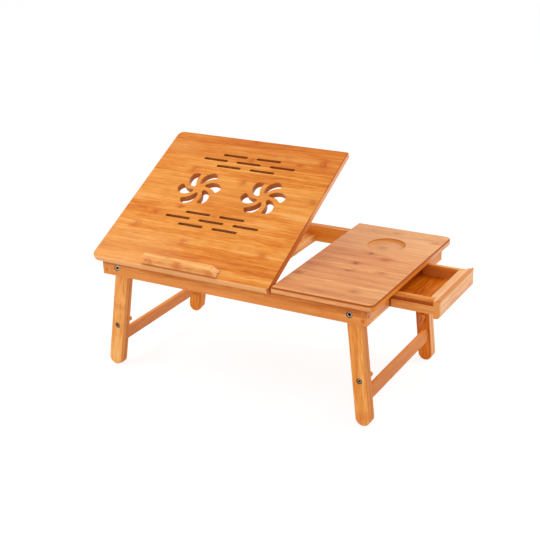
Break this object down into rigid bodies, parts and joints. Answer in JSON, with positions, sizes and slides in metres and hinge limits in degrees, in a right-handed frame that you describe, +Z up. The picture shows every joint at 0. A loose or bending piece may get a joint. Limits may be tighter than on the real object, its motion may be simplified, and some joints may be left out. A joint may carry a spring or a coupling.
{
  "type": "folding laptop table",
  "caption": "Folding bamboo laptop table with a tilting vented board, a fixed board with a cup recess, a small drawer and folding, extending legs.",
  "frame": {"origin": "on the floor under the middle of the table top", "axes": "+X along the table towards the drawer, +Y to the back, +Z up"},
  "size_m": [0.6264, 0.3439, 0.3799],
  "materials": {
    "bamboo_frame": "satin",
    "bamboo_fixed_board": "satin",
    "bamboo_tilting_board": "satin",
    "bamboo_stop_bar": "satin",
    "bamboo_dowel": "satin",
    "bamboo_leg": "satin",
    "bamboo_knob": "satin",
    "bamboo_drawer": "satin",
    "steel_screws": "satin",
    "steel_hinge": "satin",
    "steel_stay": "satin",
    "steel_bolts": "satin"
  },
  "bodies": {
    "frame": {"front_rail": "bamboo_frame", "back_rail": "bamboo_frame", "left_end_rail": "bamboo_frame", "right_stub_front": "bamboo_frame", "right_stub_back": "bamboo_frame", "centre_bar": "bamboo_frame", "prop_rack": "bamboo_frame", "seam_batten": "bamboo_frame", "runner_front": "bamboo_frame", "runner_back": "bamboo_frame", "corner_pins": "bamboo_dowel", "bar_dowels": "bamboo_dowel", "rack_screws": "steel_screws", "fixed_top": "bamboo_fixed_board", "hinge_rail_leaves": "steel_hinge", "hinge_pins": "steel_hinge", "hinge_rail_screws": "steel_screws", "pivot_bolts": "steel_bolts", "pivot_washers": "steel_bolts", "pivot_nuts": "steel_bolts"},
    "tilting_board": {"tilt_top": "bamboo_tilting_board", "stop_bar": "bamboo_stop_bar", "stop_bar_screws": "steel_screws", "hinge_board_leaves": "steel_hinge", "hinge_board_screws": "steel_screws", "stay_clips": "steel_stay", "stay_clip_screws": "steel_screws"},
    "wire_stay": {"wire_stay": "steel_stay"},
    "left_legs": {"left_front_upper_leg": "bamboo_leg", "left_back_upper_leg": "bamboo_leg", "left_clamp_screws": "steel_bolts"},
    "right_legs": {"right_front_upper_leg": "bamboo_leg", "right_back_upper_leg": "bamboo_leg", "right_clamp_screws": "steel_bolts"},
    "left_leg_extensions": {"left_front_lower_leg": "bamboo_leg", "left_back_lower_leg": "bamboo_leg", "left_crossbar": "bamboo_leg"},
    "right_leg_extensions": {"right_front_lower_leg": "bamboo_leg", "right_back_lower_leg": "bamboo_leg", "right_crossbar": "bamboo_leg"},
    "drawer": {"drawer_front": "bamboo_drawer", "drawer_front_wall": "bamboo_drawer", "drawer_side_front": "bamboo_drawer", "drawer_side_back": "bamboo_drawer", "drawer_back_wall": "bamboo_drawer", "drawer_bottom": "bamboo_drawer", "drawer_screws": "steel_screws"},
    "left_front_knob": {"left_front_knob": "bamboo_knob"},
    "left_back_knob": {"left_back_knob": "bamboo_knob"},
    "right_front_knob": {"right_front_knob": "bamboo_knob"},
    "right_back_knob": {"right_back_knob": "bamboo_knob"}
  },
  "joints": [
    {"name": "panel_tilt", "type": "hinge", "parent": "frame", "child": "tilting_board", "pos_m": [0, -0.1622, 0.222], "axis": [1, 0, 0], "range_deg": [-26.6, 6.9]},
    {"name": "stay_fold", "type": "hinge", "parent": "tilting_board", "child": "wire_stay", "pos_m": [0, -0.04484, 0.27799], "axis": [1, 0, 0], "range_deg": [-14, 53.4]},
    {"name": "left_leg_fold", "type": "hinge", "parent": "frame", "child": "left_legs", "pos_m": [-0.229, 0, 0.2065], "axis": [0, -1, 0], "range_deg": [0, 99.86]},
    {"name": "right_leg_fold", "type": "hinge", "parent": "frame", "child": "right_legs", "pos_m": [0.229, 0, 0.2065], "axis": [0, 1, 0], "range_deg": [-4.9, 94.96]},
    {"name": "left_leg_extension", "type": "slide", "parent": "left_legs", "child": "left_leg_extensions", "axis": [0.1713, 0, 0.9852], "range_m": [-0.0678, 0.00217]},
    {"name": "right_leg_extension", "type": "slide", "parent": "right_legs", "child": "right_leg_extensions", "axis": [-0.0865, 0, 0.9963], "range_m": [-0.07, 0]},
    {"name": "drawer_slide", "type": "slide", "parent": "frame", "child": "drawer", "axis": [1, 0, 0], "range_m": [-0.0785, 0.025]},
    {"name": "left_front_knob_turn", "type": "hinge", "parent": "left_legs", "child": "left_front_knob", "pos_m": [-0.25032, -0.12, 0.08386], "axis": [0, 1, 0], "continuous": true},
    {"name": "left_back_knob_turn", "type": "hinge", "parent": "left_legs", "child": "left_back_knob", "pos_m": [-0.25032, 0.12, 0.08386], "axis": [0, 1, 0], "continuous": true},
    {"name": "right_front_knob_turn", "type": "hinge", "parent": "right_legs", "child": "right_front_knob", "pos_m": [0.23976, -0.12, 0.08249], "axis": [0, 1, 0], "continuous": true},
    {"name": "right_back_knob_turn", "type": "hinge", "parent": "right_legs", "child": "right_back_knob", "pos_m": [0.23976, 0.12, 0.08249], "axis": [0, 1, 0], "continuous": true}
  ],
  "couplings": [
    {"joint": "stay_fold", "follows": "panel_tilt", "ratio": -2}
  ]
}
